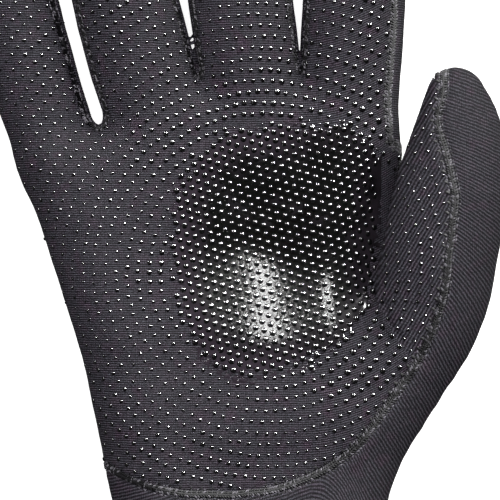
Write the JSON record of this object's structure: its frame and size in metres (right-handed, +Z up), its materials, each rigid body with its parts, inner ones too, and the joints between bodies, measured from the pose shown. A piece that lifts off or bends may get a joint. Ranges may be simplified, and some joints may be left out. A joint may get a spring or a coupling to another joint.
{
  "type": "diving glove",
  "caption": "Five-finger foamed-rubber diving glove with a printed grip palm, lying on its back with the hand half open.",
  "frame": {"origin": "on the flat of the glove's back, under the middle of the palm", "axes": "+X towards the thumb, +Y towards the fingertips, +Z up out of the palm"},
  "size_m": [0.1548, 0.2793, 0.0456],
  "materials": {
    "jersey_palm": "knitted nylon jersey, matt",
    "jersey_back": "knitted nylon jersey, matt",
    "grip_rubber": "glossy printed rubber"
  },
  "bodies": {
    "root": {"palm_panel": "jersey_palm", "thumb_front": "jersey_palm", "back_panel": "jersey_back", "fourchette_little_ring": "jersey_back", "fourchette_ring_middle": "jersey_back", "fourchette_middle_index": "jersey_back", "index_side_strip": "jersey_back", "cuff": "jersey_back", "grip_pad": "grip_rubber"}
  },
  "joints": []
}
